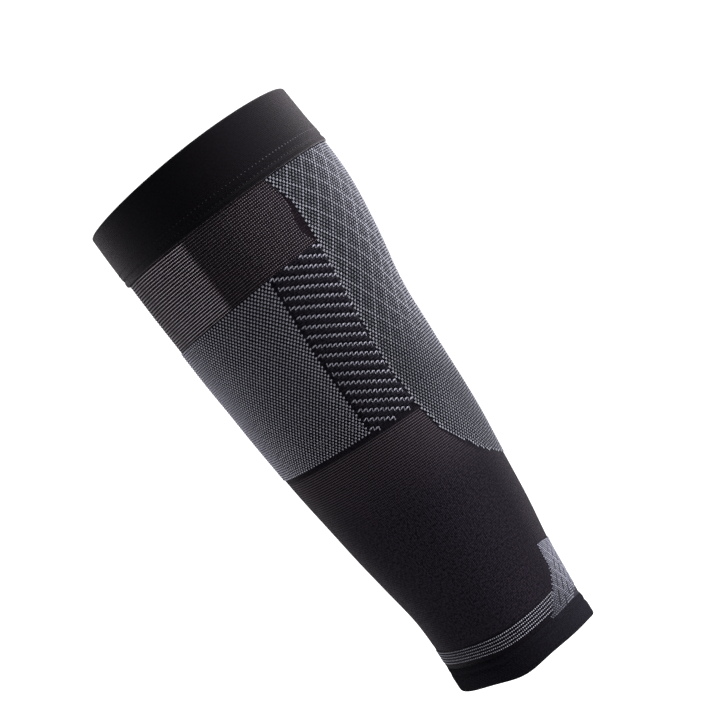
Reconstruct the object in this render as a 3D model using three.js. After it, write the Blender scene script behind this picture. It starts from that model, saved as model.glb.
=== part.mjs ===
import * as THREE from 'three';

// A calf compression sleeve: one knitted tube, worked in zones of different knit, with a doubled
// welt at the knee and another at the ankle. It has the round form that it takes on a leg.
// Lengths are in millimetres and angles in degrees. +Z runs up the leg to the knee, +Y is the
// calf side and -Y the shin side. The origin is on the leg's axis, level with the widest calf.

const { degToRad, lerp, radToDeg } = THREE.MathUtils;

// Driving dimensions
const sleeveLength = 297;
const calfDepth = 123;
const kneeRimRise = 28.1;
const kneeWeltHeight = 33.6;
const ankleWeltHeight = 11.9;
const kneeWeltWall = 2.4;
const ankleWeltWall = 2.2;
const meshKnitWall = 1;
const shinKnitWall = 1.6;
const ribGroundWall = 1.2;
const calfKnitWall = 1.4;
const plainKnitWall = 1.2;
const achillesKnitWall = 1.5;
const ribHeight = 0.7;
const ribPitch = 5.25;
const ribSlope = 33.5;
const weltLip = 0.7;
const weltGrooveRise = 2.8;
const weltGrooveDepth = 0.5;
const weltGrooveWidth = 1.6;
const seamGap = 0.3;

// How finely the curves are cut into flat faces
const columnAngle = 9.2;
const rowStep = 9;
const ribColumns = 8;
const ribRowsEach = 3;
const lowerLegRows = 9;
const foldSteps = 4;

// Sections of the leg from the knee rim to the ankle rim. down is a share of sleeveLength, and
// front, back, lean and arch are shares of calfDepth: front and back are the leg's reach from its
// axis, and lean and arch say how far a knitted course tips and bows away from the level.
// breadth is the section's width as a share of its depth. dip is how far a course hangs down over
// the soft fold at each side of the ankle, and sag is how far it hangs down over the fold at the
// back, along the heel tendon, both as shares of calfDepth.
const sections = [
  { down: 0, front: 0.472, back: 0.468, breadth: 0.95, lean: 0.027, arch: -0.013, dip: 0, sag: 0 },
  { down: 0.06, front: 0.47, back: 0.479, breadth: 0.95, lean: 0.02, arch: -0.006, dip: 0, sag: 0 },
  { down: 0.117, front: 0.467, back: 0.494, breadth: 0.95, lean: 0.013, arch: 0.004, dip: 0, sag: 0 },
  { down: 0.2, front: 0.459, back: 0.494, breadth: 0.945, lean: 0.03, arch: 0.001, dip: 0, sag: 0 },
  { down: 0.29, front: 0.446, back: 0.467, breadth: 0.94, lean: 0.032, arch: 0, dip: 0, sag: 0 },
  { down: 0.38, front: 0.434, back: 0.426, breadth: 0.935, lean: 0.012, arch: 0, dip: 0, sag: 0 },
  { down: 0.47, front: 0.422, back: 0.409, breadth: 0.93, lean: -0.008, arch: 0, dip: 0, sag: 0 },
  { down: 0.54, front: 0.408, back: 0.4, breadth: 0.925, lean: -0.018, arch: -0.002, dip: 0, sag: 0 },
  { down: 0.62, front: 0.387, back: 0.387, breadth: 0.915, lean: -0.018, arch: 0, dip: 0, sag: 0 },
  { down: 0.7, front: 0.363, back: 0.363, breadth: 0.905, lean: -0.017, arch: 0.002, dip: 0, sag: 0 },
  { down: 0.78, front: 0.336, back: 0.34, breadth: 0.89, lean: -0.016, arch: 0.006, dip: 0, sag: 0.015 },
  { down: 0.86, front: 0.309, back: 0.3062, breadth: 0.88, lean: -0.013, arch: 0.014, dip: 0, sag: 0.036 },
  { down: 0.92, front: 0.306, back: 0.2939, breadth: 0.87, lean: -0.009, arch: 0.027, dip: 0.004, sag: 0.032 },
  { down: 0.945, front: 0.308, back: 0.2884, breadth: 0.87, lean: -0.01, arch: 0.027, dip: 0.008, sag: 0.029 },
  { down: 0.97, front: 0.311, back: 0.2842, breadth: 0.87, lean: -0.02, arch: 0.012, dip: 0.013, sag: 0.026 },
  { down: 1, front: 0.314, back: 0.2809, breadth: 0.87, lean: -0.016, arch: 0.002, dip: 0.022, sag: 0.02 },
];
const shinTaper = 0.05;
const sideFoldAngle = 100;
const sideFoldSpread = 20;
const backFoldSpread = 22;

// Borders of the knit zones. down is a share of the body between the two welts, and angle is
// turned from the middle of the calf towards either side.
const shinTopShare = 0.155;
const shinBottomShare = 0.5;
const stripeTopShare = 0.958;
const ribFrontAngle = 92;
const calfEdge = [
  { down: 0, angle: 66.5 },
  { down: 0.06, angle: 63 },
  { down: shinTopShare, angle: 62 },
  { down: 0.3, angle: 62 },
  { down: 0.39, angle: 64 },
  { down: shinBottomShare, angle: 62 },
  { down: 0.555, angle: 59 },
  { down: 0.6, angle: 51 },
  { down: 0.634, angle: 42.5 },
  { down: 0.656, angle: 34 },
  { down: 0.673, angle: 23 },
  { down: 0.688, angle: 8 },
];
const achillesEdge = [
  { down: 0.869, angle: 33.9 },
  { down: 0.925, angle: 34.6 },
  { down: stripeTopShare, angle: 44 },
  { down: 1, angle: 60 },
];

const bodyLength = sleeveLength - kneeWeltHeight - ankleWeltHeight;
const bodyTop = kneeWeltHeight + seamGap;
const bodyBottom = sleeveLength - ankleWeltHeight - seamGap;

// Tables read as curves

// The row that ends the stretch of a table in which a place lies
function stretchEnd(rows, along, place) {
  const after = rows.findIndex((row) => row[along] > place);
  return after < 0 ? rows.length - 1 : Math.max(after, 1);
}

// A column of a table as straight lines between its rows
function lineThrough(rows, along, column, place) {
  const end = stretchEnd(rows, along, place);
  const before = rows[end - 1];
  const after = rows[end];
  const share = (place - before[along]) / (after[along] - before[along]);
  return lerp(before[column], after[column], THREE.MathUtils.clamp(share, 0, 1));
}

// A column of a table as one smooth curve through its rows
function curveThrough(rows, along, column, place) {
  const end = stretchEnd(rows, along, place);
  const slopeAt = (row) => {
    const above = rows[Math.max(row - 1, 0)];
    const below = rows[Math.min(row + 1, rows.length - 1)];
    return (below[column] - above[column]) / (below[along] - above[along]);
  };
  const from = rows[end - 1];
  const to = rows[end];
  const span = to[along] - from[along];
  const t = (place - from[along]) / span;
  const rise = 3 * t ** 2 - 2 * t ** 3;
  const leaving = (t ** 3 - 2 * t ** 2 + t) * span * slopeAt(end - 1);
  const arriving = (t ** 3 - t ** 2) * span * slopeAt(end);
  return lerp(from[column], to[column], rise) + leaving + arriving;
}

// The knots of a border with even steps put in between them, none longer than the given step
function spread(knots, step) {
  const places = [...new Set(knots)].sort((a, b) => a - b);
  const filled = places.slice(0, -1).flatMap((from, index) => {
    const to = places[index + 1];
    const count = Math.ceil((to - from) / step);
    return Array.from({ length: count }, (_, part) => lerp(from, to, part / count));
  });
  return [...filled, places.at(-1)];
}

function evenShares(count) {
  return Array.from({ length: count + 1 }, (_, part) => part / count);
}

// The leg's surface

function bodyDown(share) {
  return kneeWeltHeight + share * bodyLength;
}

function bodyShare(down) {
  return (down - kneeWeltHeight) / bodyLength;
}

function legPoint(angle, down) {
  const section = (column) => curveThrough(sections, 'down', column, down / sleeveLength);
  const halfDepth = (calfDepth * (section('front') + section('back'))) / 2;
  const middle = (calfDepth * (section('back') - section('front'))) / 2;
  const backward = Math.cos(degToRad(angle));
  const sideways = Math.sin(degToRad(angle)) * (1 + shinTaper * backward);
  const tip = calfDepth * (section('lean') * backward + section('arch') * backward ** 2);
  const turn = radToDeg(Math.acos(backward));
  const fromSide = (turn - sideFoldAngle) / sideFoldSpread;
  const dip = calfDepth * section('dip') * Math.exp(-(fromSide ** 2));
  const sag = calfDepth * section('sag') * Math.exp(-((turn / backFoldSpread) ** 2));
  return new THREE.Vector3(
    halfDepth * section('breadth') * sideways,
    middle + halfDepth * backward,
    kneeRimRise - down + tip - dip - sag,
  );
}

// A point that stands off the leg's surface by the given distance
function knitPoint(angle, down, out) {
  const nudge = 0.05;
  const round = legPoint(angle + nudge, down).sub(legPoint(angle - nudge, down));
  const along = legPoint(angle, down + nudge).sub(legPoint(angle, down - nudge));
  const outward = round.cross(along).normalize();
  return legPoint(angle, down).addScaledVector(outward, out);
}

// The turn about the axis that a small length round the leg takes up
function turnFor(length, down) {
  return radToDeg(length / Math.abs(legPoint(0, down).y));
}

// Solids

// A closed solid from loops of points set side by side round the leg: each loop runs down the
// outer face and back up the inner one. The loops close into a ring, or end in two flat walls.
function knitGeometry(loops, isRing) {
  const size = loops[0].length;
  const points = [];
  const numbers = new Map();
  const numberOf = (column, place) => {
    const point = loops[column % loops.length][place % size];
    const key = point.toArray().map((value) => value.toFixed(4)).join(' ');
    if (!numbers.has(key)) {
      numbers.set(key, numbers.size);
      points.push(...point.toArray());
    }
    return numbers.get(key);
  };
  const faces = [];
  const addFace = (a, b, c) => {
    if (a !== b && b !== c && c !== a) faces.push(a, b, c);
  };
  const addQuad = (a, b, c, d) => {
    addFace(a, b, c);
    addFace(a, c, d);
  };
  const joins = isRing ? loops.length : loops.length - 1;
  for (let column = 0; column < joins; column += 1) {
    for (let place = 0; place < size; place += 1) {
      addQuad(
        numberOf(column, place),
        numberOf(column + 1, place),
        numberOf(column + 1, place + 1),
        numberOf(column, place + 1),
      );
    }
  }
  if (!isRing) {
    const lastColumn = loops.length - 1;
    for (let place = 0; place < size / 2 - 1; place += 1) {
      const facing = size - 1 - place;
      addQuad(
        numberOf(0, place),
        numberOf(0, place + 1),
        numberOf(0, facing - 1),
        numberOf(0, facing),
      );
      addQuad(
        numberOf(lastColumn, place),
        numberOf(lastColumn, facing),
        numberOf(lastColumn, facing - 1),
        numberOf(lastColumn, place + 1),
      );
    }
  }
  const geometry = new THREE.BufferGeometry();
  geometry.setAttribute('position', new THREE.Float32BufferAttribute(points, 3));
  geometry.setIndex(faces);
  geometry.computeVertexNormals();
  return geometry;
}

// The loops of a sheet of knit: place gives the angle, down and wall of each row in each column
function sheetLoops(columns, rows, place) {
  return columns.map((column) => {
    const places = rows.map((row) => place(column, row));
    const outer = places.map(({ angle, down, wall }) => knitPoint(angle, down, wall));
    const inner = places.map(({ angle, down }) => knitPoint(angle, down, 0));
    return [...outer, ...inner.reverse()];
  });
}

// A sheet between two borders that run down the leg
function panel(rows, fromAngle, toAngle, wall) {
  const widest = toAngle(rows[0]) - fromAngle(rows[0]);
  const columns = evenShares(Math.ceil(widest / columnAngle));
  const place = (share, down) => ({
    angle: lerp(fromAngle(down), toAngle(down), share),
    down,
    wall,
  });
  return knitGeometry(sheetLoops(columns, rows, place), false);
}

// Half of a welt's section, from its folded edge: down is the distance from the fold
function weltSection(height, wall) {
  const fold = wall / 2;
  const arc = evenShares(foldSteps).map((share) => ({
    down: fold * (1 - Math.sin(Math.PI * share)),
    out: fold * (1 - Math.cos(Math.PI * share)),
  }));
  const grooveEdge = weltGrooveRise + weltGrooveWidth / 2;
  const grooveFoot = weltGrooveRise - weltGrooveWidth / 2;
  return [
    ...arc,
    { down: height - grooveEdge, out: wall },
    { down: height - weltGrooveRise, out: wall - weltGrooveDepth },
    { down: height - grooveFoot, out: wall },
    { down: height - weltLip, out: wall },
    { down: height, out: wall - weltLip },
    { down: height, out: 0 },
  ];
}

// A welt turned round the leg, with its section reversed where the fold is the lower edge
function welt(foldDown, direction, height, wall) {
  const section = weltSection(height, wall);
  const loop = direction > 0 ? section : section.reverse();
  const angles = spread([0, 90, 180, 270, 360], columnAngle).slice(0, -1);
  const loops = angles.map((angle) => loop.map(({ down, out }) => (
    knitPoint(angle, foldDown + direction * down, out)
  )));
  return knitGeometry(loops, true);
}

// Zones

function calfAngle(down) {
  return lineThrough(calfEdge, 'down', 'angle', bodyShare(down));
}

function achillesAngle(down) {
  return lineThrough(achillesEdge, 'down', 'angle', bodyShare(down));
}

// The rows of a zone between two levels, with one at each knot of the border beside it
function zoneRows(top, bottom, border) {
  const knots = border.map((row) => bodyDown(row.down));
  return spread([top, ...knots.filter((down) => down > top && down < bottom), bottom], rowStep);
}

function upperShinZone() {
  const rows = zoneRows(bodyTop, bodyDown(shinTopShare) - seamGap, calfEdge);
  return panel(rows, calfAngle, (down) => 360 - calfAngle(down), meshKnitWall);
}

function shinZone() {
  const rows = zoneRows(bodyDown(shinTopShare), bodyDown(shinBottomShare), []);
  return panel(rows, () => ribFrontAngle, () => 360 - ribFrontAngle, shinKnitWall);
}

function calfZone() {
  const side = (down) => calfAngle(down) - turnFor(seamGap, down);
  const rows = zoneRows(bodyTop, bodyDown(calfEdge.at(-1).down), calfEdge);
  return panel(rows, (down) => -side(down), side, calfKnitWall);
}

function stripeZone() {
  const rows = zoneRows(bodyDown(stripeTopShare), bodyBottom, achillesEdge);
  return panel(rows, achillesAngle, (down) => 360 - achillesAngle(down), plainKnitWall);
}

function achillesZone() {
  const side = (down) => achillesAngle(down) - turnFor(seamGap, down);
  const rows = zoneRows(bodyDown(achillesEdge[0].down), bodyBottom, achillesEdge);
  return panel(rows, (down) => -side(down), side, achillesKnitWall);
}

// The rib zone's ribs slant down towards the calf, and its top and bottom courses cut them off
function ribPlace(share, level) {
  const top = bodyDown(shinTopShare);
  const bottom = bodyDown(shinBottomShare);
  const middle = (top + bottom) / 2;
  const reach = degToRad(ribFrontAngle - calfAngle(middle)) * legPoint(90, middle).x;
  const drop = reach * Math.tan(degToRad(ribSlope)) * (1 - share);
  const down = THREE.MathUtils.clamp(level + drop, top, bottom);
  const ribShare = (((down - drop - top) / ribPitch) % 1 + 1) % 1;
  const swell = Math.min(1, ribRowsEach * Math.min(ribShare, 1 - ribShare));
  return {
    angle: lerp(calfAngle(down), ribFrontAngle - turnFor(seamGap, down), share),
    down,
    wall: ribGroundWall + ribHeight * swell,
    drop,
  };
}

function ribZone(isOuterSide) {
  const top = bodyDown(shinTopShare);
  const bottom = bodyDown(shinBottomShare);
  const fullDrop = ribPlace(0, top).drop;
  const step = ribPitch / ribRowsEach;
  const rowsAbove = Math.ceil(fullDrop / step);
  const rowsInAll = rowsAbove + Math.ceil((bottom - top) / step);
  const levels = Array.from({ length: rowsInAll + 1 }, (_, row) => top + (row - rowsAbove) * step);
  const mirrored = (share, level) => {
    const place = ribPlace(1 - share, level);
    return { ...place, angle: 360 - place.angle };
  };
  const place = isOuterSide ? ribPlace : mirrored;
  return knitGeometry(sheetLoops(evenShares(ribColumns), levels, place), false);
}

// The lower leg closes into a ring under the shin, rib and calf zones, and reaches down to the
// stripes and round the zone over the heel tendon
function lowerLegZone() {
  const tip = calfEdge.filter((row) => row.down >= shinBottomShare).reverse();
  const flank = achillesEdge.filter((row) => row.down <= stripeTopShare);
  const border = (rows, angle) => {
    const fromBack = Math.min(angle, 360 - angle);
    return bodyDown(lineThrough(rows, 'angle', 'down', fromBack));
  };
  const knots = [...tip, ...flank].map((row) => row.angle);
  const half = spread([0, ...knots, 180], columnAngle);
  const angles = [...half, ...half.slice(1, -1).reverse().map((angle) => 360 - angle)];
  const place = (angle, share) => ({
    angle,
    down: lerp(border(tip, angle) + seamGap, border(flank, angle) - seamGap, share),
    wall: plainKnitWall,
  });
  return knitGeometry(sheetLoops(angles, evenShares(lowerLegRows), place), true);
}

// The assembly

function knitMesh(name, color, roughness, geometry) {
  const material = new THREE.MeshStandardMaterial({ color, roughness, metalness: 0 });
  const mesh = new THREE.Mesh(geometry, material);
  mesh.name = name;
  return mesh;
}

const welts = new THREE.Group();
welts.add(
  knitMesh('knee_welt', '#121114', 0.8, welt(0, 1, kneeWeltHeight, kneeWeltWall)),
  knitMesh('ankle_welt', '#151416', 0.8, welt(sleeveLength, -1, ankleWeltHeight, ankleWeltWall)),
);

const body = new THREE.Group();
body.add(
  knitMesh('upper_shin_zone', '#3a3234', 0.85, upperShinZone()),
  knitMesh('shin_zone', '#4c4b54', 0.9, shinZone()),
  knitMesh('rib_zone_outer', '#2b2a33', 0.9, ribZone(true)),
  knitMesh('rib_zone_inner', '#2b2a33', 0.9, ribZone(false)),
  knitMesh('calf_zone', '#62636d', 0.9, calfZone()),
  knitMesh('lower_leg_zone', '#1f1b1f', 0.8, lowerLegZone()),
  knitMesh('stripe_zone', '#2e2d34', 0.85, stripeZone()),
  knitMesh('achilles_zone', '#80818d', 0.9, achillesZone()),
);

const sleeve = new THREE.Group();
sleeve.add(welts, body);

export default sleeve;
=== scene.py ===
import math

import bpy
import numpy as np
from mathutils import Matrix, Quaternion, Vector


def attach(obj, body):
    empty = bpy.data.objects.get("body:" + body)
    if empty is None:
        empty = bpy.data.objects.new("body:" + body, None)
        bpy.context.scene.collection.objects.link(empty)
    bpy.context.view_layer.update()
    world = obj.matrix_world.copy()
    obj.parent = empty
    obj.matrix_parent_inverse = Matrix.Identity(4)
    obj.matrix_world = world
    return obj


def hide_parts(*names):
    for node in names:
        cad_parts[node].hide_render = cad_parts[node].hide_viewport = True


# A calf compression sleeve, knitted in zones. Each zone is a sheet of dark ground knit with its
# light yarn loops on it, and a doubled welt ends the tube at the knee and at the ankle.
# Lengths here are in millimetres until a point is placed, and angles are in degrees from the
# middle of the calf. Blender gets metres.

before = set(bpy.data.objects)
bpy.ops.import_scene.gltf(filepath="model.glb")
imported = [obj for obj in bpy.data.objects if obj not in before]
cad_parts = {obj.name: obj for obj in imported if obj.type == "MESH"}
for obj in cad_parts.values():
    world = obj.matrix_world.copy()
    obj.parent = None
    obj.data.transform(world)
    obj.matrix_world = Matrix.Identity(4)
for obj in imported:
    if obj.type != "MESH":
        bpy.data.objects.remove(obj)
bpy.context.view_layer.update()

MM = 0.001

# Sizes of the sleeve
SLEEVE_LENGTH = 297
CALF_DEPTH = 123
KNEE_RIM_RISE = 28.1
KNEE_WELT_HEIGHT = 33.6
ANKLE_WELT_HEIGHT = 11.9
KNEE_WELT_WALL = 2.4
ANKLE_WELT_WALL = 2.2
WELT_GROOVE = 0.5
KNEE_LIP = (0.55, 0.8)
ANKLE_LIP = (1.1, 6)
SHIN_SNUG = 0.3
RIB_PITCH = 5.25
RIB_SLOPE = 33.5
SHIN_TAPER = 0.05
SIDE_FOLD_ANGLE = 100
SIDE_FOLD_SPREAD = 20
BACK_FOLD_SPREAD = 22

# Height of each ground knit's face off the leg, and the height in which all zones meet
MESH_FACE = 0.95
SHIN_FACE = 1.35
RIB_FACE = 1.1
RIB_SWELL = 0.75
CALF_FACE = 1.25
PLAIN_FACE = 1.2
TENDON_FACE = 1.3
BORDER_FACE = 1.15
BORDER_FADE = 1.6

# The stitch lattice: one count of wales runs the whole length, and each zone has its row pitch
WALES_ROUND = 340
WALE_ANGLE = 360 / WALES_ROUND
MESH_ROW = 1.39
SHIN_ROW = 1.276
CALF_ROW = 1.35
PLAIN_ROW = 1.2
TENDON_ROW = 0.86
CALF_WALE = 1.09

# Sections of the leg: down as a share of the length, then front, back, breadth, lean, arch, dip
# and sag
SECTIONS = np.array([
    (0, 0.472, 0.468, 0.95, 0.027, -0.013, 0, 0),
    (0.06, 0.47, 0.479, 0.95, 0.02, -0.006, 0, 0),
    (0.117, 0.467, 0.494, 0.95, 0.013, 0.004, 0, 0),
    (0.2, 0.459, 0.494, 0.945, 0.03, 0.001, 0, 0),
    (0.29, 0.446, 0.467, 0.94, 0.032, 0, 0, 0),
    (0.38, 0.434, 0.426, 0.935, 0.012, 0, 0, 0),
    (0.47, 0.422, 0.409, 0.93, -0.008, 0, 0, 0),
    (0.54, 0.408, 0.4, 0.925, -0.018, -0.002, 0, 0),
    (0.62, 0.387, 0.387, 0.915, -0.018, 0, 0, 0),
    (0.7, 0.363, 0.363, 0.905, -0.017, 0.002, 0, 0),
    (0.78, 0.336, 0.34, 0.89, -0.016, 0.006, 0, 0.015),
    (0.86, 0.309, 0.3062, 0.88, -0.013, 0.014, 0, 0.036),
    (0.92, 0.306, 0.2939, 0.87, -0.009, 0.027, 0.004, 0.032),
    (0.945, 0.308, 0.2884, 0.87, -0.01, 0.027, 0.008, 0.029),
    (0.97, 0.311, 0.2842, 0.87, -0.02, 0.012, 0.013, 0.026),
    (1, 0.314, 0.2809, 0.87, -0.016, 0.002, 0.022, 0.02),
])

# Zone borders: the share of the body between the welts, then the angle
BODY_LENGTH = SLEEVE_LENGTH - KNEE_WELT_HEIGHT - ANKLE_WELT_HEIGHT
SHIN_TOP_SHARE = 0.155
SHIN_BOTTOM_SHARE = 0.5
STRIPE_TOP_SHARE = 0.958
STRIPE_SHARES = (0.964, 0.97, 0.976, 0.982, 0.988)
RIB_FRONT_ANGLE = 92
CALF_EDGE = np.array([
    (0, 66.5),
    (0.06, 63),
    (SHIN_TOP_SHARE, 62),
    (0.3, 62),
    (0.39, 64),
    (SHIN_BOTTOM_SHARE, 62),
    (0.555, 59),
    (0.6, 51),
    (0.634, 42.5),
    (0.656, 34),
    (0.673, 23),
    (0.688, 8),
])
TENDON_EDGE = np.array([(0.869, 33.9), (0.925, 34.6), (STRIPE_TOP_SHARE, 44), (1, 60)])


# The leg's surface


def section_at(column, down):
    """One column of the section table as a smooth curve down the sleeve."""
    places, values = SECTIONS[:, 0], SECTIONS[:, column]
    place = np.asarray(down, float) / SLEEVE_LENGTH
    last = len(places) - 1
    end = np.clip(np.searchsorted(places, place, side="right"), 1, last)

    def slope(row):
        above, below = np.maximum(row - 1, 0), np.minimum(row + 1, last)
        return (values[below] - values[above]) / (places[below] - places[above])

    span = places[end] - places[end - 1]
    t = (place - places[end - 1]) / span
    rise = 3 * t**2 - 2 * t**3
    leaving = (t**3 - 2 * t**2 + t) * span * slope(end - 1)
    arriving = (t**3 - t**2) * span * slope(end)
    return values[end - 1] + (values[end] - values[end - 1]) * rise + leaving + arriving


def leg_point(angle, down):
    front, back, breadth, lean, arch, dip, sag = (section_at(column, down) for column in range(1, 8))
    half_depth = CALF_DEPTH * (front + back) / 2
    backward = np.cos(np.radians(angle))
    sideways = np.sin(np.radians(angle)) * (1 + SHIN_TAPER * backward)
    tip = CALF_DEPTH * (lean * backward + arch * backward**2)
    turn = np.degrees(np.arccos(backward))
    side_hang = CALF_DEPTH * dip * np.exp(-(((turn - SIDE_FOLD_ANGLE) / SIDE_FOLD_SPREAD) ** 2))
    back_hang = CALF_DEPTH * sag * np.exp(-((turn / BACK_FOLD_SPREAD) ** 2))
    return np.stack([
        half_depth * breadth * sideways,
        CALF_DEPTH * (back - front) / 2 + half_depth * backward,
        KNEE_RIM_RISE - down + tip - side_hang - back_hang,
    ], axis=-1)


def unit(vectors):
    return vectors / np.linalg.norm(vectors, axis=-1, keepdims=True)


def surface_frame(angle, down):
    """The outward direction and the direction up the wale at places on the leg."""
    nudge = 0.05
    around = leg_point(angle + nudge, down) - leg_point(angle - nudge, down)
    along = leg_point(angle, down + nudge) - leg_point(angle, down - nudge)
    outward = unit(np.cross(around, along))
    return outward, unit(-along)


def give(angle, down):
    """The soft knit's slight unevenness, in millimetres off the leg."""
    turn = np.radians(angle)
    return (
        0.1 * np.sin(3 * turn + down / 19)
        + 0.07 * np.sin(5 * turn - down / 11 + 1.3)
        + 0.05 * np.sin(2 * turn + down / 6.5 + 0.4)
    )


def knit_point(angle, down, out):
    outward, _ = surface_frame(angle, down)
    reach = np.asarray(out) + np.where(np.asarray(out) > 0, give(angle, down), 0)
    return (leg_point(angle, down) + outward * reach[..., None]) * MM


def wale_length(angle, down):
    """How far apart two neighbouring wales stand, in millimetres."""
    step = leg_point(angle + 0.5, down) - leg_point(angle - 0.5, down)
    return np.linalg.norm(step, axis=-1) * WALE_ANGLE


def body_down(share):
    return KNEE_WELT_HEIGHT + share * BODY_LENGTH


def body_share(down):
    return (down - KNEE_WELT_HEIGHT) / BODY_LENGTH


def calf_angle(down):
    return np.interp(body_share(down), CALF_EDGE[:, 0], CALF_EDGE[:, 1])


def tendon_angle(down):
    return np.interp(body_share(down), TENDON_EDGE[:, 0], TENDON_EDGE[:, 1])


def smooth_step(value):
    t = np.clip(value, 0, 1)
    return t * t * (3 - 2 * t)


# Materials


def shader(name, roughness, sheen, specular):
    """A cloth material with its node tree, its shader and a helper that adds linked nodes."""
    material = bpy.data.materials.new(name)
    material.use_nodes = True
    nodes, links = material.node_tree.nodes, material.node_tree.links
    surface = nodes["Principled BSDF"]
    surface.inputs["Roughness"].default_value = roughness
    surface.inputs["Sheen Weight"].default_value = sheen
    surface.inputs["Sheen Roughness"].default_value = 0.3
    surface.inputs["Sheen Tint"].default_value = (1, 0.93, 1, 1)
    surface.inputs["Specular IOR Level"].default_value = specular

    def add(kind, settings=None, **wires):
        node = nodes.new(kind)
        for key, value in (settings or {}).items():
            setattr(node, key, value)
        for key, value in wires.items():
            index = int(key[1:]) if key[0] == "i" and key[1:].isdigit() else key.replace("_", " ")
            if isinstance(value, bpy.types.NodeSocket):
                links.new(value, node.inputs[index])
            else:
                node.inputs[index].default_value = value
        return node

    return material, surface, links, add


def maths(add, operation, first, second=0.0):
    return add("ShaderNodeMath", {"operation": operation}, i0=first, i1=second).outputs[0]


def ramp(add, value, source, result, shape="LINEAR"):
    """A value carried over from one range to another, and held at its ends."""
    node = add("ShaderNodeMapRange", {"interpolation_type": shape}, Value=value)
    for name, limit in zip(("From Min", "From Max", "To Min", "To Max"), (*source, *result)):
        node.inputs[name].default_value = limit
    return node.outputs[0]


def blend_values(add, share, first, second):
    return maths(add, "ADD", maths(add, "MULTIPLY", first, 1 - share), maths(add, "MULTIPLY", second, share))


def blend(add, share, first, second):
    """A colour between two colours or colour sockets."""
    node = add("ShaderNodeMix", {"data_type": "RGBA"}, i0=share)
    for index, value in ((6, first), (7, second)):
        if isinstance(value, bpy.types.NodeSocket):
            node.id_data.links.new(value, node.inputs[index])
        else:
            node.inputs[index].default_value = (*value, 1)
    return node.outputs[2]


def ground_knit(name, thread, gap, roughness, sheen, depth=0.16, grain=(0.25, 1.45), courses=1, tint=None):
    """Plain knit in rows of slanting stitch legs, counted off by the piece's wale and row map."""
    material, surface, links, add = shader(name, roughness, sheen, 0.0)
    place = add("ShaderNodeUVMap", {"uv_map": "stitches"}).outputs[0]
    parts = add("ShaderNodeSeparateXYZ", i0=place)
    wale, row = parts.outputs[0], parts.outputs[1]
    across = maths(add, "FRACT", wale)
    from_middle = maths(add, "MULTIPLY", maths(add, "ABSOLUTE", maths(add, "SUBTRACT", across, 0.5)), 2)
    leg = maths(add, "SINE", maths(add, "MULTIPLY", from_middle, math.pi))
    slant = maths(add, "ADD", row, maths(add, "MULTIPLY", from_middle, 0.5))
    loop = maths(add, "SINE", maths(add, "MULTIPLY", maths(add, "FRACT", slant), math.pi))
    ridge = maths(add, "POWER", maths(add, "SINE", maths(add, "MULTIPLY", across, math.pi)), 2.5)
    column = blend_values(add, courses, ridge, leg)
    height = maths(add, "MULTIPLY", column, ramp(add, loop, (0, 1), (1 - courses, 1)))
    spots = add("ShaderNodeTexNoise", {"noise_dimensions": "2D"}, Vector=place, Scale=0.9, Detail=3.0)
    uneven = maths(add, "MULTIPLY", height, ramp(add, spots.outputs[0], (0.32, 0.68), grain))
    color = blend(add, uneven, gap, thread)
    if tint:
        color = tint(add, place, wale, row, color)
    links.new(color, surface.inputs["Base Color"])
    fuzz = maths(add, "ADD", height, maths(add, "MULTIPLY", spots.outputs[0], 0.5))
    bump = add("ShaderNodeBump", Strength=0.8, Distance=depth * MM, Height=fuzz)
    links.new(bump.outputs[0], surface.inputs["Normal"])
    return material


def loop_yarn(name, dark, light, roughness=0.85, sheen=0.02, specular=0.05):
    """Yarn of the raised loops: each loop's tone runs from the dark to the light colour, and in some pieces the tone
    holds painted light and shade.
    """
    material, surface, links, add = shader(name, roughness, sheen, specular)
    tone = add("ShaderNodeAttribute", {"attribute_name": "tone"}).outputs["Fac"]
    where = add("ShaderNodeTexCoord").outputs["Object"]
    fibre = add("ShaderNodeTexNoise", Vector=where, Scale=2600.0, Detail=2.0)
    fleck = maths(add, "MULTIPLY", maths(add, "SUBTRACT", fibre.outputs[0], 0.5), 0.35)
    color = blend(add, maths(add, "ADD", tone, maths(add, "MULTIPLY", fleck, tone)), dark, light)
    links.new(color, surface.inputs["Base Color"])
    bump = add("ShaderNodeBump", Strength=0.5, Distance=0.08 * MM, Height=fibre.outputs[0])
    links.new(bump.outputs[0], surface.inputs["Normal"])
    return material


def fading_courses(add, place, wale, row, color):
    """Fine dotted brown courses under the shin zone that fade out down the leg, on a ground darkened under them and,
    as painted shade, towards the back of the leg.
    """
    line = maths(add, "SINE", maths(add, "MULTIPLY", maths(add, "FRACT", row), math.pi))
    dots = maths(add, "SINE", maths(add, "MULTIPLY", maths(add, "FRACT", wale), math.pi))
    fine = maths(add, "MULTIPLY", maths(add, "POWER", line, 9.0), maths(add, "ADD", dots, 0.3))
    from_front = maths(add, "ABSOLUTE", maths(add, "SUBTRACT", wale, WALES_ROUND / 2))
    flank = ramp(add, from_front, (80, 115), (0.5, 0.5), "SMOOTHSTEP")
    border = add("ShaderNodeAttribute", {"attribute_name": "from_border"}).outputs["Fac"]
    clear = ramp(add, border, (2.3, 3.6), (0, 1), "SMOOTHSTEP")
    depth = ramp(add, row, (0, 40), (1, 0), "SMOOTHSTEP")
    # The ground darkens under the top courses, and towards the back of the leg it takes painted shade against the
    # strong light on the calf side.
    dark_ground_and_painted_shade = maths(add, "MAXIMUM", maths(add, "MULTIPLY", depth, 0.65), ramp(add, from_front, (92, 130), (0, 0.6)))
    color = blend(add, dark_ground_and_painted_shade, color, (0.003, 0.0026, 0.0034))
    share = maths(add, "MULTIPLY", maths(add, "MULTIPLY", fine, depth), maths(add, "MULTIPLY", flank, clear))
    return blend(add, share, color, (0.125, 0.103, 0.118))


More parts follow.
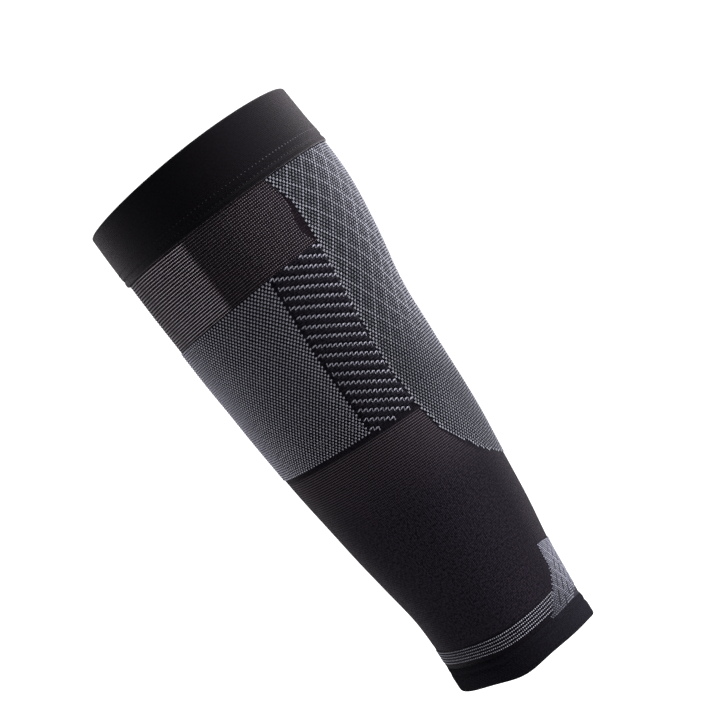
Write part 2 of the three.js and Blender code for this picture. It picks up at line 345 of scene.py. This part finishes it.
def rim_highlight(add, place, wale, row, color):
    """A paler band along the fold: a painted highlight on the rim, partly the paler edge of the elastic that shows
    there.
    """
    near = ramp(add, maths(add, "ABSOLUTE", row), (0.25, 0.7), (0.55, 0))
    return blend(add, near, color, (0.13, 0.14, 0.1))


welt_knit = ground_knit(
    "welt_knit", (0.0054, 0.0045, 0.0064), (0.0005, 0.0005, 0.0007), 0.7, 0.31,
    depth=0.1, grain=(0.5, 1.5), tint=rim_highlight)
welt_knit.node_tree.nodes["Principled BSDF"].inputs["Sheen Roughness"].default_value = 0.38
hem_knit = ground_knit("hem_knit", (0.0145, 0.0132, 0.0185), (0.0018, 0.0018, 0.0025), 0.85, 0.025)
mesh_ground = ground_knit("mesh_ground", (0.0152, 0.0106, 0.0142), (0.0034, 0.0026, 0.0036), 0.85, 0.1)
shin_ground = ground_knit("shin_ground", (0.01, 0.0095, 0.0125), (0.003, 0.003, 0.004), 0.9, 0.06)
rib_ground = ground_knit("rib_ground", (0.017, 0.0152, 0.021), (0.001, 0.001, 0.0014), 0.9, 0.04)
calf_ground = ground_knit("calf_ground", (0.01, 0.01, 0.0135), (0.003, 0.003, 0.0045), 0.9, 0.05)
plain_knit = ground_knit(
    "plain_knit", (0.0225, 0.0182, 0.0268), (0.0018, 0.0015, 0.0022), 0.8, 0.14,
    grain=(0.3, 1.55), courses=0.35, tint=fading_courses)
stripe_ground = ground_knit("stripe_ground", (0.012, 0.0105, 0.0145), (0.002, 0.0018, 0.0026), 0.8, 0.12)
tendon_ground = ground_knit("tendon_ground", (0.022, 0.022, 0.03), (0.009, 0.009, 0.012), 0.85, 0.1)

mesh_yarn = loop_yarn("mesh_yarn", (0.006, 0.005, 0.006), (0.42, 0.382, 0.43))
shin_yarn = loop_yarn("shin_yarn", (0.02, 0.02, 0.025), (0.4, 0.394, 0.47))
rib_yarn = loop_yarn("rib_yarn", (0.02, 0.02, 0.025), (0.22, 0.215, 0.262))
calf_yarn = loop_yarn("calf_yarn", (0.02, 0.02, 0.025), (0.33, 0.33, 0.384))
stripe_yarn = loop_yarn("stripe_yarn", (0.03, 0.03, 0.035), (0.355, 0.355, 0.42))
tendon_yarn = loop_yarn("tendon_yarn", (0.02, 0.02, 0.025), (0.3, 0.3, 0.37))
linking_yarn = loop_yarn("linking_yarn", (0.006, 0.006, 0.0075), (0.16, 0.15, 0.17))


# Ground knit


def cloth(name, material, angle, down, out, wale, row, is_ring=False, from_border=None):
    """A sheet with an outer face, an inner face and rims, from a grid of rows by columns."""
    rows, columns = angle.shape
    outer = knit_point(angle, down, out).reshape(-1, 3)
    inner = knit_point(angle, down, np.zeros_like(out)).reshape(-1, 3)
    points = np.concatenate([outer, inner])
    count = rows * columns
    joins = columns if is_ring else columns - 1
    maps = np.stack([wale, row], axis=-1).reshape(-1, 2)
    faces, spots = [], []

    def add(corners, places):
        faces.append(corners)
        spots.extend(places)

    def place(r, c):
        spot = maps[r * columns + c % columns]
        return (spot[0] + WALES_ROUND * (c // columns), spot[1])

    for r in range(rows - 1):
        for c in range(joins):
            a, b = r * columns + c, r * columns + (c + 1) % columns
            d, e = a + columns, b + columns
            uv = [place(r, c), place(r, c + 1), place(r + 1, c + 1), place(r + 1, c)]
            add((a, b, e, d), uv)
            add((a + count, d + count, e + count, b + count), [uv[0], uv[3], uv[2], uv[1]])
    for c in range(joins):
        for r, turned in ((0, False), (rows - 1, True)):
            a, b = r * columns + c, r * columns + (c + 1) % columns
            quad = [(a + count, place(r, c)), (b + count, place(r, c + 1)), (b, place(r, c + 1)), (a, place(r, c))]
            quad = quad[::-1] if turned else quad
            add([corner for corner, _ in quad], [spot for _, spot in quad])
    if not is_ring:
        for r in range(rows - 1):
            for c, turned in ((0, True), (columns - 1, False)):
                a, d = r * columns + c, (r + 1) * columns + c
                quad = [(a + count, place(r, c)), (d + count, place(r + 1, c)), (d, place(r + 1, c)), (a, place(r, c))]
                quad = quad if turned else quad[::-1]
                add([corner for corner, _ in quad], [spot for _, spot in quad])
    piece = finish_cloth(name, material, points, faces, spots)
    if from_border is not None:
        layer = piece.data.attributes.new("from_border", "FLOAT", "POINT")
        layer.data.foreach_set("value", np.tile(from_border.ravel(), 2).astype(np.float32))
    return piece


def finish_cloth(name, material, points, faces, spots):
    mesh = bpy.data.meshes.new(name)
    mesh.from_pydata(points.tolist(), [], faces)
    layer = mesh.uv_layers.new(name="stitches")
    layer.data.foreach_set("uv", np.array(spots, np.float32).ravel())
    mesh.materials.append(material)
    mesh.shade_smooth()
    mesh.set_sharp_from_angle(angle=math.radians(55))
    piece = bpy.data.objects.new(name, mesh)
    bpy.context.scene.collection.objects.link(piece)
    return piece


def faded(face, border_distance):
    """A zone's face height, which runs down to the common height at its borders."""
    return BORDER_FACE + (face - BORDER_FACE) * smooth_step(border_distance / BORDER_FADE)


def side_panel(name, material, face, top, bottom, first, last, row_pitch, step=1.5):
    """A sheet between two borders that run down the leg, from one level to another."""
    downs = np.linspace(top, bottom, max(int((bottom - top) / step), 2) + 1)
    widest = np.max(last(downs) - first(downs))
    shares = np.linspace(0, 1, int(widest / (WALE_ANGLE * 1.5)) + 1)
    down = np.repeat(downs[:, None], len(shares), axis=1)
    start, end = first(downs)[:, None], last(downs)[:, None]
    angle = start + (end - start) * shares[None, :]
    from_side = np.minimum(angle - start, end - angle) * wale_length(angle, down) / WALE_ANGLE
    from_end = np.minimum(down - top, bottom - down)
    out = faded(face, np.minimum(from_side, from_end))
    wale, row = angle / WALE_ANGLE, (down - top) / row_pitch
    return cloth(name, material, angle, down, out, wale, row)


mesh_top, shin_top = body_down(0), body_down(SHIN_TOP_SHARE)
shin_bottom, stripe_top = body_down(SHIN_BOTTOM_SHARE), body_down(STRIPE_TOP_SHARE)
calf_bottom, tendon_top, body_bottom = body_down(CALF_EDGE[-1, 0]), body_down(TENDON_EDGE[0, 0]), body_down(1)


def whole_turn(border):
    return lambda down: 360 - border(down)


def back_again(border):
    return lambda down: -border(down)


def level(angle):
    return lambda down: np.full(np.shape(down), float(angle))


upper_shin_zone = side_panel(
    "upper_shin_cloth", mesh_ground, MESH_FACE, mesh_top, shin_top, calf_angle, whole_turn(calf_angle), MESH_ROW)
shin_zone = side_panel(
    "shin_cloth", shin_ground, SHIN_FACE, shin_top, shin_bottom,
    level(RIB_FRONT_ANGLE), level(360 - RIB_FRONT_ANGLE), SHIN_ROW)
calf_zone = side_panel(
    "calf_cloth", calf_ground, CALF_FACE, mesh_top, calf_bottom, back_again(calf_angle), calf_angle, CALF_ROW)
stripe_zone = side_panel(
    "stripe_cloth", stripe_ground, PLAIN_FACE, stripe_top, body_bottom,
    tendon_angle, whole_turn(tendon_angle), TENDON_ROW, step=0.8)
achilles_zone = side_panel(
    "achilles_cloth", tendon_ground, TENDON_FACE, tendon_top, body_bottom,
    back_again(tendon_angle), tendon_angle, TENDON_ROW)


def rib_drop(angle, down):
    """How far a rib has slanted down from the shin border, in millimetres."""
    reach = np.radians(RIB_FRONT_ANGLE - angle) * np.abs(leg_point(90.0, down)[..., 0])
    return reach * math.tan(math.radians(RIB_SLOPE))


def rib_phase(angle, down):
    """Where a place lies between two rib grooves, from 0 to 1."""
    return np.mod((down - rib_drop(angle, down) - shin_top) / RIB_PITCH, 1)


def rib_panel(name, is_outer_side):
    """The raised slanting ribs between the shin and calf zones, on one side of the leg."""
    downs = np.arange(shin_top, shin_bottom + 0.2, 0.42)
    downs = np.linspace(shin_top, shin_bottom, len(downs))
    shares = np.linspace(0, 1, 44)
    down = np.repeat(downs[:, None], len(shares), axis=1)
    start = calf_angle(downs)[:, None]
    angle = start + (RIB_FRONT_ANGLE - start) * shares[None, :]
    phase = rib_phase(angle, down)
    swell = smooth_step(2.6 * np.minimum(phase, 1 - phase))
    from_side = np.minimum(angle - start, RIB_FRONT_ANGLE - angle) * wale_length(angle, down) / WALE_ANGLE
    from_end = np.minimum(down - shin_top, shin_bottom - down)
    out = faded(RIB_FACE + RIB_SWELL * swell, np.minimum(from_side, from_end))
    row = (down - shin_top) / SHIN_ROW
    if is_outer_side:
        return cloth(name, rib_ground, angle, down, out, angle / WALE_ANGLE, row)
    angle, out, down, row = 360 - angle[:, ::-1], out[:, ::-1], down[:, ::-1], row[:, ::-1]
    return cloth(name, rib_ground, angle, down, out, angle / WALE_ANGLE, row)


rib_zone_outer = rib_panel("rib_cloth_outer", True)
rib_zone_inner = rib_panel("rib_cloth_inner", False)


def lower_leg():
    """The plain knit that closes into a ring between the patterned zones and the ankle."""
    angles = np.arange(WALES_ROUND) * WALE_ANGLE
    shares = np.linspace(0, 1, 96)
    from_back = np.minimum(angles, 360 - angles)
    tip = CALF_EDGE[CALF_EDGE[:, 0] >= SHIN_BOTTOM_SHARE][::-1]
    flank = TENDON_EDGE[TENDON_EDGE[:, 0] <= STRIPE_TOP_SHARE]
    top = body_down(np.interp(from_back, tip[:, 1], tip[:, 0]))
    bottom = body_down(np.interp(from_back, flank[:, 1], flank[:, 0]))
    angle = np.repeat(angles[None, :], len(shares), axis=0)
    down = top[None, :] + (bottom - top)[None, :] * shares[:, None]
    from_end = np.minimum(down - top, bottom - down)
    out = faded(PLAIN_FACE, from_end)
    row = (down - shin_bottom) / PLAIN_ROW
    return cloth(
        "lower_leg_cloth", plain_knit, angle, down, out, angle / WALE_ANGLE, row,
        is_ring=True, from_border=from_end)


lower_leg_zone = lower_leg()


# Welts


def welt(name, material, fold_down, direction, height, wall, lip, row_pitch):
    """A doubled band: folded at its rim, with a linking groove and a lip at its other edge."""
    fold = wall / 2
    bend = np.linspace(0, math.pi, 9)
    section = [(fold * (1 - math.sin(turn)), fold * (1 - math.cos(turn))) for turn in bend]
    lengths = np.concatenate([
        np.linspace(fold, height - 6.2, 14)[1:],
        height - np.array([5.6, 5.0, 4.5, 4.1, 3.7, 3.3, 2.9, 2.5, 2.1, 1.7, 1.3, 0.9, 0.6, 0.35, 0.12, 0.0]),
    ])
    for length in lengths:
        to_edge = height - length
        groove = WELT_GROOVE * math.exp(-(((to_edge - 3.5) / 0.9) ** 2))
        rounded = lip[0] * (1 - math.sqrt(max(0, 1 - max(0, 1 - to_edge / lip[1]) ** 2)))
        section.append((length, wall - groove - rounded))
    section.append((height, 0))
    section = section if direction > 0 else section[::-1]
    angles = np.arange(WALES_ROUND) * WALE_ANGLE
    size = len(section)
    from_back = np.minimum(angles, 360 - angles)
    snug = 1 - SHIN_SNUG * smooth_step((from_back - 110) / 45) * (direction < 0)
    points = np.concatenate([
        knit_point(angles, np.full(len(angles), fold_down + direction * down), out * snug)
        for down, out in section
    ])
    travelled = np.concatenate([[0], np.cumsum(np.hypot(*np.diff(np.array(section), axis=0).T))])
    middle = travelled[4 if direction > 0 else size - 5]
    faces, spots = [], []
    for place in range(size):
        following = (place + 1) % size
        row_a = (travelled[place] - middle) / row_pitch
        row_b = (travelled[following] - middle) / row_pitch if following else row_a + 1
        for c in range(WALES_ROUND):
            after = (c + 1) % WALES_ROUND
            faces.append((
                place * WALES_ROUND + c,
                place * WALES_ROUND + after,
                following * WALES_ROUND + after,
                following * WALES_ROUND + c,
            ))
            spots.extend([(c, row_a), (c + 1, row_a), (c + 1, row_b), (c, row_b)])
    return finish_cloth(name, material, points, faces, spots)


knee_welt = welt("knee_band", welt_knit, 0, 1, KNEE_WELT_HEIGHT, KNEE_WELT_WALL, KNEE_LIP, 0.8)
ankle_welt = welt(
    "ankle_band", hem_knit, SLEEVE_LENGTH, -1, ANKLE_WELT_HEIGHT, ANKLE_WELT_WALL, ANKLE_LIP, 0.7)


# Light yarn loops


def yarn_tree():
    """Geometry Nodes that set one oval of yarn on each point, turned to the knit's surface."""
    tree = bpy.data.node_groups.new("yarn_ovals", "GeometryNodeTree")
    sockets = {}
    for name, kind in (
        ("Points", "NodeSocketGeometry"),
        ("Yarn Width", "NodeSocketFloat"),
        ("Yarn Length", "NodeSocketFloat"),
        ("Yarn Height", "NodeSocketFloat"),
        ("Yarn", "NodeSocketMaterial"),
    ):
        sockets[name] = tree.interface.new_socket(name, in_out="INPUT", socket_type=kind)
    tree.interface.new_socket("Loops", in_out="OUTPUT", socket_type="NodeSocketGeometry")
    nodes, links = tree.nodes, tree.links
    given, made = nodes.new("NodeGroupInput"), nodes.new("NodeGroupOutput")

    def named(name):
        node = nodes.new("GeometryNodeInputNamedAttribute")
        node.data_type = "FLOAT_VECTOR"
        node.inputs["Name"].default_value = name
        return node.outputs["Attribute"]

    ball = nodes.new("GeometryNodeMeshUVSphere")
    ball.inputs["Segments"].default_value = 4
    ball.inputs["Rings"].default_value = 3
    ball.inputs["Radius"].default_value = 0.5
    size = nodes.new("ShaderNodeCombineXYZ")
    links.new(given.outputs["Yarn Width"], size.inputs[0])
    links.new(given.outputs["Yarn Height"], size.inputs[1])
    links.new(given.outputs["Yarn Length"], size.inputs[2])
    oval = nodes.new("GeometryNodeTransform")
    oval.inputs["Rotation"].default_value = (-math.pi / 2, 0, 0)
    links.new(ball.outputs["Mesh"], oval.inputs["Geometry"])
    links.new(size.outputs[0], oval.inputs["Scale"])
    smooth = nodes.new("GeometryNodeSetShadeSmooth")
    links.new(oval.outputs["Geometry"], smooth.inputs["Geometry"])

    turn = None
    for axis, name in (("Z", "outward"), ("Y", "rise")):
        node = nodes.new("FunctionNodeAlignRotationToVector")
        node.axis = axis
        node.pivot_axis = "AUTO" if axis == "Z" else "Z"
        links.new(named(name), node.inputs["Vector"])
        if turn:
            links.new(turn, node.inputs["Rotation"])
        turn = node.outputs["Rotation"]

    spread = nodes.new("GeometryNodeInstanceOnPoints")
    links.new(given.outputs["Points"], spread.inputs["Points"])
    links.new(smooth.outputs["Geometry"], spread.inputs["Instance"])
    links.new(turn, spread.inputs["Rotation"])
    links.new(named("girth"), spread.inputs["Scale"])
    real = nodes.new("GeometryNodeRealizeInstances")
    links.new(spread.outputs["Instances"], real.inputs["Geometry"])
    painted = nodes.new("GeometryNodeSetMaterial")
    links.new(real.outputs["Geometry"], painted.inputs["Geometry"])
    links.new(given.outputs["Yarn"], painted.inputs["Material"])
    links.new(painted.outputs["Geometry"], made.inputs["Loops"])
    return tree, {name: socket.identifier for name, socket in sockets.items()}


loop_tree, loop_inputs = yarn_tree()


def yarn_ovals(name, material, places, width, length, height):
    """One piece of yarn ovals. A place is angle, down, out, tilt, girth across and along, tone."""
    angle, down, out, tilt, across, along, tone = np.array(places, float).T
    outward, up = surface_frame(angle, down)
    left = np.cross(outward, up)
    turned = np.radians(tilt)[:, None]
    rise = np.cos(turned) * up + np.sin(turned) * left
    mesh = bpy.data.meshes.new(name + "_points")
    mesh.from_pydata(knit_point(angle, down, out).tolist(), [], [])
    girth = np.stack([across, along, np.ones_like(across)], axis=-1)
    for key, values in (("outward", outward), ("rise", rise), ("girth", girth)):
        layer = mesh.attributes.new(key, "FLOAT_VECTOR", "POINT")
        layer.data.foreach_set("vector", values.astype(np.float32).ravel())
    mesh.attributes.new("tone", "FLOAT", "POINT").data.foreach_set("value", tone.astype(np.float32))
    seeds = bpy.data.objects.new(name + "_points", mesh)
    bpy.context.scene.collection.objects.link(seeds)
    modifier = seeds.modifiers.new("yarn", "NODES")
    modifier.node_group = loop_tree
    for key, value in (
        ("Yarn Width", width * MM),
        ("Yarn Length", length * MM),
        ("Yarn Height", height * MM),
        ("Yarn", material),
    ):
        modifier[loop_inputs[key]] = value
    depsgraph = bpy.context.evaluated_depsgraph_get()
    made = bpy.data.meshes.new_from_object(seeds.evaluated_get(depsgraph))
    bpy.data.objects.remove(seeds)
    for key in ("outward", "rise", "girth"):
        made.attributes.remove(made.attributes[key])
    made.name = name
    piece = bpy.data.objects.new(name, made)
    bpy.context.scene.collection.objects.link(piece)
    return piece


def lattice(top, bottom, row_pitch, inside):
    """Wale and row numbers and places of every stitch of a zone."""
    rows = max(int(round((bottom - top) / row_pitch)), 1)
    pitch = (bottom - top) / rows
    wale, row = np.meshgrid(np.arange(-WALES_ROUND // 2, WALES_ROUND // 2), np.arange(rows))
    wale, row = wale.ravel(), row.ravel()
    angle = (wale + 0.5) * WALE_ANGLE
    down = top + (row + 0.5) * pitch
    keep = inside(np.abs(angle), down)
    return wale[keep], row[keep], angle[keep], down[keep]


def uneven(wale, row):
    """A small steady difference from loop to loop, from -1 to 1."""
    return np.sin(wale * 12.9898 + row * 78.233) * np.cos(wale * 4.1 - row * 2.7)


def rows_of(*columns):
    """Columns of the same length, or single numbers, set side by side."""
    return np.stack(np.broadcast_arrays(*columns), axis=-1)


def bare_edge(share):
    """Degrees of plain knit between the mesh's course lines and the calf zone, widest past half way down."""
    return 4.2 * np.sin(math.pi * np.clip((share - 0.2) / 0.8, 0, 1) ** 1.7)


def v_loops(wale, row, angle, down, out, scale, tone, row_pitch):
    """Two leaning legs for each stitch."""
    wide = wale_length(angle, down) / CALF_WALE
    tall = row_pitch / SHIN_ROW
    return np.concatenate([
        rows_of(
            angle + side * 0.21 * WALE_ANGLE, down, out, side * (17 + 3 * uneven(wale, row)),
            scale * wide, scale * tall, tone)
        for side in (1, -1)
    ])


LEG_WIDTH, LEG_LENGTH, LEG_HEIGHT = 0.6, 1.25, 0.62

wale, row, angle, down = lattice(
    shin_top, shin_bottom, SHIN_ROW, lambda turn, _: turn > RIB_FRONT_ANGLE)
chosen = (wale + row) % 2 == 0
wale, row, angle, down = wale[chosen], row[chosen], angle[chosen], down[chosen]
# The loops grow lighter towards the front of the shin: painted light that stands in for light on the front side.
tone = 0.56 + 0.13 * uneven(wale, row) + 0.28 * smooth_step((np.abs(angle) - 105) / 55)
shin_loops = yarn_ovals(
    "shin_loops", shin_yarn, v_loops(wale, row, angle, down, SHIN_FACE + 0.1, 0.95, tone, SHIN_ROW),
    LEG_WIDTH, LEG_LENGTH, LEG_HEIGHT)

wale, row, angle, down = lattice(
    mesh_top + 0.6, shin_top, MESH_ROW,
    lambda turn, low: turn > calf_angle(low) + bare_edge((low - mesh_top) / (shin_top - mesh_top)))
turn = np.abs(angle)
pale = smooth_step((turn - 113) / 4) * (1 - smooth_step((turn - 146) / 12))
grid = smooth_step((98 - turn) / 16)
# Towards the front edge the loops grow lighter and thicker: painted light that stands in for light on the front side.
front = smooth_step((turn - 146) / 14)
tone = 0.16 + 0.8 * pale + 0.08 * grid + 0.36 * front + 0.05 * uneven(wale, row)
mesh_loops = yarn_ovals(
    "mesh_loops", mesh_yarn,
    rows_of(
        angle, down, MESH_FACE + 0.05, 3 * uneven(wale, row),
        (1 - 0.3 * grid) * wale_length(angle, down) / CALF_WALE, 1 + 0.25 * grid + 0.35 * pale + 1.4 * front, tone),
    1.14, 0.38, 0.4)

wale, row, angle, down = lattice(mesh_top + 0.5, calf_bottom, CALF_ROW, lambda turn, low: turn < calf_angle(low))
even = (wale + row) % 2 == 0
net = ((wale + row) % 10 == 0) | ((wale - row) % 10 == 0)
high = down < body_down(0.47)
on_net = net & high & even
plain = even & ~on_net
edge = np.abs(angle) > calf_angle(down) - 2.2
low = smooth_step((body_share(down) - 0.42) / 0.12)
# Towards the back of the calf the lower loops are darkened and the net lines lightened: painted shade and painted
# light against the light on the calf side.
painted_back_shading = smooth_step((52 - np.abs(angle)) / 26)
tone = 0.42 + 0.09 * uneven(wale, row) + 0.2 * edge + 0.18 * low * (1 - 1.9 * painted_back_shading)
# The loops nearest the back edge are darkened further: painted shade against the bright light along that edge.
painted_edge_shade = smooth_step((30 - np.abs(angle)) / 18)
tone = tone - 0.06 * painted_edge_shade
scale = 0.88 + 0.14 * edge
fading = smooth_step((body_share(down) - 0.33) / 0.13)
# The net lines take the same painted light towards the back and painted shade at the back edge, until they fade into
# the plain loops.
net_tone = (0.56 + 0.12 * painted_back_shading - 0.26 * painted_edge_shade) * (1 - fading) + tone * fading
net_scale = 1.08 * (1 - fading) + scale * fading
calf_loops = yarn_ovals(
    "calf_loops", calf_yarn,
    v_loops(wale[plain], row[plain], angle[plain], down[plain], CALF_FACE + 0.1, scale[plain], tone[plain], CALF_ROW),
    LEG_WIDTH, LEG_LENGTH, LEG_HEIGHT)
calf_net_loops = yarn_ovals(
    "calf_net_loops", calf_yarn,
    v_loops(
        wale[on_net], row[on_net], angle[on_net], down[on_net], CALF_FACE + 0.14,
        net_scale[on_net], net_tone[on_net], CALF_ROW),
    LEG_WIDTH, LEG_LENGTH, LEG_HEIGHT)


def rib_floats(name, side):
    """The light stairs in the grooves of one rib zone: a float across, then a leg down, at each row."""
    rows = int(round((shin_bottom - shin_top) / SHIN_ROW))
    pitch = (shin_bottom - shin_top) / rows
    stride = pitch / math.tan(math.radians(RIB_SLOPE))
    face = RIB_FACE + 0.36
    places = []
    for row in range(rows):
        level_down = shin_top + (row + 0.5) * pitch
        first = calf_angle(level_down)
        reach = np.arange(first + 0.3, RIB_FRONT_ANGLE - 0.3, 0.02)
        phase = rib_phase(reach, np.full_like(reach, level_down))
        for angle in reach[1:][np.abs(np.diff(phase)) > 0.5]:
            turn = WALE_ANGLE / float(wale_length(np.array(angle), np.array(level_down)))
            light = 0.88 + 0.12 * math.sin(row * 7.3 + angle)
            if first + 0.4 * stride * turn < angle < RIB_FRONT_ANGLE - 0.5 * stride * turn:
                places.append((side * angle, level_down, face, side * 16, 2.5 / LEG_WIDTH, 0.56, light))
            for drop, back, thick, shade in ((0.15, 1.1, 0.92, 0.85), (1.3, 0.85, 0.92, 0.8)):
                if angle - back * turn > first + 0.3:
                    places.append((
                        side * (angle - back * turn), level_down + drop, face, side * -15,
                        thick, 0.98, light * shade))
    return yarn_ovals(name, rib_yarn, places, LEG_WIDTH, LEG_LENGTH, LEG_HEIGHT)


rib_loops_outer = rib_floats("rib_loops_outer", 1)
rib_loops_inner = rib_floats("rib_loops_inner", -1)

places = []
for share in STRIPE_SHARES:
    level_down = body_down(share)
    wales = np.arange(-WALES_ROUND // 2, WALES_ROUND // 2, 1.6)
    angle = (wales + 0.5) * WALE_ANGLE
    angle = angle[np.abs(angle) > tendon_angle(level_down)]
    down = np.full_like(angle, level_down)
    places.append(rows_of(
        angle, down, PLAIN_FACE + 0.12, 14, 1.75 * wale_length(angle, down) / CALF_WALE, 0.72,
        0.8 + 0.15 * np.sin(angle * 5.1)))
stripe_loops = yarn_ovals(
    "stripe_loops", stripe_yarn, np.concatenate(places), LEG_WIDTH, 0.95, 0.5)

wale, row, angle, down = lattice(
    tendon_top, body_bottom, TENDON_ROW, lambda turn, low: turn < tendon_angle(low) + 1.8)
aside = np.where(wale < 0, -wale - 1, wale)
even = (aside + row) % 2 == 0
shaded = ((aside - row) % 8 < 2) & ((aside + row) % 16 > 3)
bright = (aside + row) % 8 == 0
tone = np.where(even, 0.48, 0.03) + 0.06 * uneven(wale, row) + 0.26 * bright
shade = smooth_step((tendon_angle(down) - 5 - np.abs(angle)) / 5) * smooth_step((down - tendon_top + 2) / 14)
tone = tone - shaded * shade * (tone - 0.03)
inner = np.abs(angle) < tendon_angle(down) - 1.2
tooth = np.abs(angle) < tendon_angle(down) + np.where(row % 2 == 0, 1.8, -0.4)
slant = 3.4 * smooth_step((32 - np.abs(angle)) / 26)
chosen = tooth & (even | inner) & (down < body_bottom - slant)
wale, row, angle, down, tone = wale[chosen], row[chosen], angle[chosen], down[chosen], tone[chosen]
tendon_loops = yarn_ovals(
    "achilles_loops", tendon_yarn, v_loops(wale, row, angle, down, TENDON_FACE + 0.1, 0.95, tone, TENDON_ROW),
    LEG_WIDTH, LEG_LENGTH, LEG_HEIGHT)

angle = np.arange(0, WALES_ROUND, 2) * WALE_ANGLE
turn = np.minimum(angle, 360 - angle)
# The dots are lighter towards the back of the leg and a little towards the front, and nearly dark between: painted
# light that follows how the band is lit.
tone = 0.04 + 0.5 * smooth_step((85 - turn) / 55) + 0.14 * smooth_step((turn - 125) / 30)
places = np.concatenate([
    rows_of(angle, KNEE_WELT_HEIGHT - height, KNEE_WELT_WALL + out, 35, 1, 1, share * tone)
    for height, out, share in ((7.6, 0.02, 1), (3.6, 0.02 - WELT_GROOVE, 0.55))
])
linking_stitches = yarn_ovals("linking_stitches", linking_yarn, places, 0.6, 0.75, 0.32)


# How the pieces go with the frame

ZONES = (
    (knee_welt, "knee_welt", "welt_knit", (linking_stitches,), (0.3, 0.0336), None),
    (upper_shin_zone, "upper_shin_zone", "mesh_knit", (mesh_loops,), (0.195, 0.039), None),
    (shin_zone, "shin_zone", "dotted_knit", (shin_loops,), (0.145, 0.0868), None),
    (rib_zone_outer, "rib_zone_outer", "rib_knit", (rib_loops_outer,), (0.026, 0.0868), None),
    (rib_zone_inner, "rib_zone_inner", "rib_knit", (rib_loops_inner,), (0.026, 0.0868), None),
    (calf_zone, "calf_zone", "calf_knit", (calf_loops, calf_net_loops), (0.11, 0.173), 0.0152),
    (lower_leg_zone, "lower_leg_zone", "plain_knit", (), (0.245, 0.115), 0.024),
    (stripe_zone, "stripe_zone", "stripe_knit", (stripe_loops,), (0.135, 0.0106), None),
    (achilles_zone, "achilles_zone", "tendon_knit", (tendon_loops,), (0.058, 0.0337), 0.0013),
    (ankle_welt, "ankle_welt", "welt_knit", (), (0.19, 0.0119), None),
)

for piece, node, slot, loops, flat, area in ZONES:
    for part in (piece, *loops):
        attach(part, "root")
    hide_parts(node)


# Floor, backdrop, light and camera


def sweep():
    """A pale floor that curves up into a backdrop."""
    floor, wall, bend = -0.42, -2.1, 0.7
    turns = np.linspace(0, math.pi / 2, 17)
    line = [(2.4, floor)]
    line += [(wall + bend - bend * math.sin(t), floor + bend - bend * math.cos(t)) for t in turns]
    line += [(wall, 2.6)]
    points = [(x, y, z) for x, z in line for y in (-1.05, 2.6)]
    faces = [(2 * i + 1, 2 * i, 2 * i + 2, 2 * i + 3) for i in range(len(line) - 1)]
    mesh = bpy.data.meshes.new("backdrop")
    mesh.from_pydata(points, [], faces)
    mesh.shade_smooth()
    material, surface, _, _ = shader("pale_paper", 0.9, 0, 0.1)
    surface.inputs["Base Color"].default_value = (0.35, 0.35, 0.35, 1)
    surface.inputs["Emission Color"].default_value = (1, 1, 1, 1)
    surface.inputs["Emission Strength"].default_value = 0.98
    mesh.materials.append(material)
    paper = bpy.data.objects.new("backdrop", mesh)
    bpy.context.scene.collection.objects.link(paper)
    return paper


sweep()


def soft_light(name, place, width, height, power):
    light = bpy.data.lights.new(name, "AREA")
    light.shape = "RECTANGLE"
    light.size, light.size_y, light.energy = width, height, power
    lamp = bpy.data.objects.new(name, light)
    lamp.location = place
    lamp.rotation_euler = (Vector((0, 0, -0.12)) - Vector(place)).to_track_quat("-Z", "Y").to_euler()
    bpy.context.scene.collection.objects.link(lamp)


soft_light("calf_side_light", (0.1, 1.25, 0.35), 0.8, 1.2, 88)
soft_light("shin_side_light", (0.3, -1.3, 0.3), 0.7, 1.2, 3.5)
soft_light("inner_side_light", (-1.2, 0.3, 0.6), 0.9, 0.9, 5)

world = bpy.data.worlds.new("studio")
world.use_nodes = True
world.node_tree.nodes["Background"].inputs["Color"].default_value = (1, 1, 1, 1)
world.node_tree.nodes["Background"].inputs["Strength"].default_value = 0.14
bpy.context.scene.world = world

lens = bpy.data.cameras.new("camera")
lens.lens, lens.sensor_width = 88, 36
lens.shift_x, lens.shift_y = 0.03, -0.03
lens.clip_start, lens.clip_end = 0.01, 20
camera = bpy.data.objects.new("camera", lens)
camera.location = (0.8768, 0.0054, -0.0627)
aim = Vector((0, 0.0112, -0.0872)) - camera.location
tilt = Quaternion((0, 0, 1), -math.radians(35.19))
camera.rotation_euler = (aim.to_track_quat("-Z", "Y") @ tilt).to_euler()
bpy.context.scene.collection.objects.link(camera)
bpy.context.scene.camera = camera
bpy.context.scene.view_settings.view_transform = "Standard"
